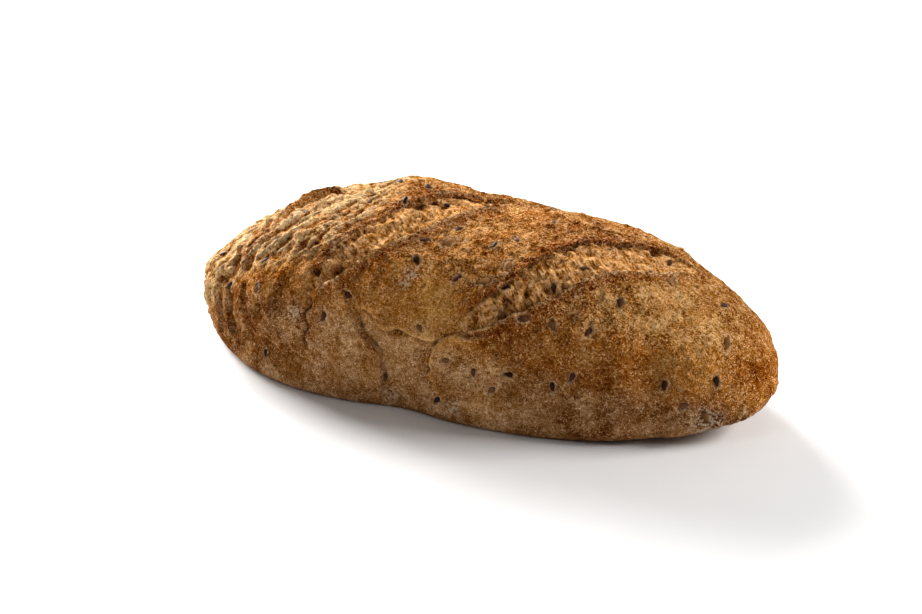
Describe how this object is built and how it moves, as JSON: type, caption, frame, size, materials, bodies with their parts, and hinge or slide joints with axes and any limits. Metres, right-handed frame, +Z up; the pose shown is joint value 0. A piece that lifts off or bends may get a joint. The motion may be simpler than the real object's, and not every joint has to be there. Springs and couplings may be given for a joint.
{
  "type": "spelt bread",
  "caption": "Whole oval spelt loaf with diagonal slashes, torn lips and flax seeds in a rough brown crust; stands on its flat base.",
  "frame": {"origin": "on the plane the loaf rests on, under the middle of its length", "axes": "+X along the loaf towards its end with the widest slash, -Y towards the side that the slashes run down, +Z up"},
  "size_m": [0.2685, 0.1212, 0.0717],
  "materials": {
    "crust": null
  },
  "bodies": {
    "root": {"spelt_loaf": "crust"}
  },
  "joints": []
}
